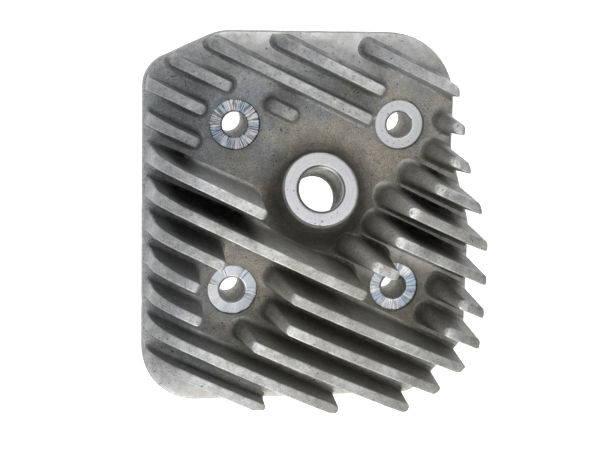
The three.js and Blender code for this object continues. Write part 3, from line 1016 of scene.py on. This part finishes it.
# ---- stud seats ----
def build_stud_seat(corner):
    centre = studs[corner]
    looks = seat_looks[corner]
    hole, rim = STUD_HOLE_RADIUS, SEAT_RADIUS - 0.06
    profile = [(hole + 0.5, SEAT_TOP - 1.5), (hole + 0.02, SEAT_TOP - 0.45)]
    profile += [(hole + 0.22, SEAT_TOP - 0.1), (hole + 0.42, SEAT_TOP)]
    profile += [(hole + 0.42 + (rim - hole - 0.55) * k / 8, SEAT_TOP) for k in range(1, 9)]
    profile += [(rim, SEAT_TOP - 0.1), (rim, SEAT_TOP - 1.5)]
    depth = 0.035 * looks["streaks"]
    seed = looks["seed"]

    def waves(angle, radius, height):
        if height < SEAT_TOP - 0.05:
            return 0.0
        swirl = angle + 0.04 * radius
        wave = noise.noise(Vector((3.2 * math.cos(swirl), 3.2 * math.sin(swirl), seed)))
        return depth * wave * min(1.0, (radius - hole) / 1.5)

    place = Matrix.Translation(Vector((centre.x, centre.y, 0)))
    point = (centre.x, centre.y, SEAT_TOP)
    look = machined_material(f"seat_metal_{corner}", point, (0, 0, 1), **looks)
    seat = turned_ring(f"stud_seat_{corner}", profile, place, look, waves=waves)
    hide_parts(f"stud_boss_{corner}")

    levels = [0.4 + (SEAT_TOP - 0.8) * k / 48 for k in range(49)]
    sleeve = [(hole + 0.08 * math.sin(2.4 * k + seed), level) for k, level in enumerate(levels)]
    sleeve += [(hole + 1.2, levels[-1] - 0.6), (hole + 1.2, 0.4)]
    tube = turned_ring(f"stud_hole_{corner}", sleeve, place, cast["cored_hole"], 48)
    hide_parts(f"stud_boss_{corner}")


# ---- underside: drum with stud columns, gasket face and chamber ----
def drum_reach(direction):
    """Radius of the drum's outline, which swells round the four stud columns."""
    reach = DRUM_RADIUS
    for centre in studs.values():
        arm = centre - bore_axis
        side = direction.cross(arm)
        if abs(side) < COLUMN_RADIUS and direction.dot(arm) > 0:
            reach = max(reach, direction.dot(arm) + math.sqrt(COLUMN_RADIUS**2 - side**2))
    return reach


def drum_outline(inset):
    """The drum's outline with its corners eased, moved inwards by inset."""
    directions = [Vector(spot).xy for spot in circle(1, 0, DRUM_SIDES)]
    reaches = [drum_reach(direction) for direction in directions]
    for _ in range(2):
        following = reaches[1:] + reaches[:1]
        reaches = [
            (reaches[i - 1] + 2 * reach + after) / 4
            for i, (reach, after) in enumerate(zip(reaches, following))
        ]
    return [bore_axis + way * (reach - inset) for way, reach in zip(directions, reaches)]


def build_drum():
    count = DRUM_SIDES
    heights = [(0.25, 0.3), (0.0, 0.7), (0.0, 3.5), (0.0, 6.5), (0.0, 9.5)]
    heights += [(-0.15, 10.8), (-0.6, 11.8), (-1.5, 12.7)]
    points, faces = [], []
    for inset, height in heights:
        for point in drum_outline(inset):
            bump = 0.1 * cast_noise((point.x, point.y, height), 4, 5)
            away = (point - bore_axis).normalized() * bump
            points.append(Vector((point.x + away.x, point.y + away.y, height)))
    join_rows(len(heights), count, faces)
    holes = [flat_circle(centre, STUD_HOLE_RADIUS + 0.6, 40) for centre in studs.values()]
    holes.append(flat_circle(bore_axis, BORE_RADIUS + 1, BORE_SIDES))
    top = (len(heights) - 1) * count
    for base, height, flip in ((0, heights[0][1], True), (top, heights[-1][1], False)):
        loop = [point.xy for point in points[base : base + count]]
        flat, triangles = fill_flat([loop, *holes])
        extra = len(points) - count
        lookup = [base + i if i < count else extra + i for i in range(len(flat))]
        points += [Vector((p.x, p.y, height)) for p in flat[count:]]
        faces += [tuple(lookup[i] for i in (reversed(t) if flip else t)) for t in triangles]
    hole_total = sum(len(hole) for hole in holes)
    low, high = len(points) - 2 * hole_total, len(points) - hole_total
    for hole in holes:
        bridge(low, high, len(hole), faces)
        low, high = low + len(hole), high + len(hole)
    # The drum is darker high up, under the plate, and paler at its foot by the gasket face.
    shade_and_grime = [0.25 if point.z > 10 else 0.05 for point in points]
    wear_and_light = [0.5 if point.z < 0.8 else 0.0 for point in points]
    floats = {"wear_and_light": wear_and_light, "shade_and_grime": shade_and_grime}
    drum = new_piece("drum_cast", points, faces, cast["cast_underside"], floats)
    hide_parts("gasket_drum")


def slab(name, loops, thickness, spacing, material, height=lambda point: 0.0):
    """A thin plate on a height, bounded by the first loop, with the others cut out."""
    flat, triangles = fill_flat(loops, spacing, 3.0)
    points = [Vector((p.x, p.y, lift + height(p))) for lift in (0.0, thickness) for p in flat]
    faces = [tuple(reversed(t)) for t in triangles]
    faces += [tuple(i + len(flat) for i in t) for t in triangles]
    begin = 0
    for loop in loops:
        bridge(begin, begin + len(flat), len(loop), faces)
        begin += len(loop)
    return new_piece(name, points, faces, material)


def build_gasket_face():
    loops = [drum_outline(0.25)]
    loops += [flat_circle(centre, STUD_HOLE_RADIUS + 0.4, 40) for centre in studs.values()]
    loops.append(flat_circle(bore_axis, BORE_RADIUS, BORE_SIDES))
    point = (bore_axis.x, bore_axis.y, 0)
    look = machined_material("gasket_face_metal", point, (0, 0, 1), rings=1.0, specks=0.4, seed=31.0)
    face = slab("gasket_face", loops, 0.6, 2.0, look)
    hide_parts("gasket_drum")


CHAMBER_RADIUS = (BORE_RADIUS**2 + CHAMBER_DEPTH**2) / (2 * CHAMBER_DEPTH)


def chamber_height(flat):
    """Height of the chamber's dome over a place in the gasket plane."""
    reach = min(BORE_RADIUS, (flat - bore_axis).length)
    return CHAMBER_DEPTH - CHAMBER_RADIUS + math.sqrt(CHAMBER_RADIUS**2 - reach**2)


def build_chamber():
    radius, sides = THREAD_MINOR_RADIUS + 0.35, 48
    spots = zip(circle(1, 0, sides), dome_depths(radius, sides))
    hole = [plug_point(Vector(spot), radius, depth).xy for spot, depth in spots]
    loops = [flat_circle(bore_axis, BORE_RADIUS, BORE_SIDES), hole]
    point = (bore_axis.x, bore_axis.y, 0)
    look = machined_material("chamber_metal", point, (0, 0, 1), rings=0.8, specks=0.9, seed=37.0)
    dome = slab("combustion_chamber", loops, 1.2, 1.8, look, chamber_height)
    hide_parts("gasket_drum")


# ---- build the head ----
plug_foot_depth = (plug_seat.z - DECK_TOP) / plug_direction.z
plug_foot = (plug_seat - plug_direction * plug_foot_depth).xy
outline_points = plate_outline()
fins = {node: read_fin(node) for node in sorted(frame["nodes"]) if "fin" in node or "rib" in node}
build_deck()
for node in fins:
    build_fin(node)
build_boss()
build_plug_ring()
build_thread()
for corner in CORNERS:
    build_stud_seat(corner)
build_drum()
build_gasket_face()
build_chamber()


# ---- studio ----
LIGHT_TARGET = Vector((0, 0, 15))
CAMERA_PLACE = Vector((-83.0, 78.3, 434.9))
CAMERA_TARGET = Vector((-2.6, -2.2, 16.0))
CAMERA_UP = Vector((-0.0236, 1, 0))
FLOOR_GAP = 0.0002  # metres between the floor and the gasket face


def build_floor():
    """A white floor with a soft glow of its own, like a light table."""
    mesh = bpy.data.meshes.new("floor")
    size = 3.0
    corners = [(-size, -size, 0), (size, -size, 0), (size, size, 0), (-size, size, 0)]
    mesh.from_pydata(corners, [], [(0, 1, 2, 3)])
    s = Shader("floor_white")
    s.finish((0.9, 0.9, 0.9), 0.8, 0.0)
    s.principled.inputs["Emission Color"].default_value = (1, 1, 1, 1)
    s.principled.inputs["Emission Strength"].default_value = 0.9
    mesh.materials.append(s.material)
    floor = bpy.data.objects.new("floor", mesh)
    floor.location.z = cad_box[0].z - FLOOR_GAP
    bpy.context.scene.collection.objects.link(floor)


def area_light(name, place, size, power):
    lamp = bpy.data.lights.new(name, "AREA")
    lamp.shape = "RECTANGLE"
    lamp.size, lamp.size_y = size
    lamp.energy = power
    light = bpy.data.objects.new(name, lamp)
    light.location = Vector(place) * MM
    aim = LIGHT_TARGET * MM - light.location
    light.rotation_euler = aim.to_track_quat("-Z", "Y").to_euler()
    bpy.context.scene.collection.objects.link(light)


def build_world():
    """Dim air overhead and a pale horizon, as inside a white box."""
    world = bpy.data.worlds.new("studio")
    bpy.context.scene.world = world
    world.use_nodes = True
    tree = world.node_tree
    place = tree.nodes.new("ShaderNodeTexCoord")
    split = tree.nodes.new("ShaderNodeSeparateXYZ")
    ramp = tree.nodes.new("ShaderNodeMapRange")
    tree.links.new(place.outputs["Generated"], split.inputs[0])
    tree.links.new(split.outputs["Z"], ramp.inputs["Value"])
    levels = {"From Min": 0.12, "From Max": 0.4, "To Min": 0.55, "To Max": 0.05}
    for label, value in levels.items():
        ramp.inputs[label].default_value = value
    background = tree.nodes["Background"]
    background.inputs["Color"].default_value = (0.93, 0.97, 1.0, 1)
    tree.links.new(ramp.outputs["Result"], background.inputs["Strength"])


build_floor()
build_world()
area_light("overhead_panel", (60, 110, 620), (0.62, 0.62), 1.85)
area_light("front_left_panel", (-180, -400, 420), (0.5, 0.5), 3.6)
area_light("rear_panel", (-60, 480, 260), (0.5, 0.35), 0.85)
area_light("left_panel", (-520, -60, 240), (0.5, 0.35), 0.5)

camera = bpy.data.objects.new("camera", bpy.data.cameras.new("camera"))
camera.data.lens = 87.3
camera.data.sensor_width = 36.0
camera.location = CAMERA_PLACE * MM
view = (CAMERA_TARGET * MM - camera.location).normalized()
right = view.cross(CAMERA_UP).normalized()
up = right.cross(view)
camera.rotation_euler = Matrix((right, up, -view)).transposed().to_euler()
camera.data.clip_start = 0.01
bpy.context.scene.collection.objects.link(camera)
bpy.context.scene.camera = camera
bpy.context.scene.view_settings.view_transform = "Standard"
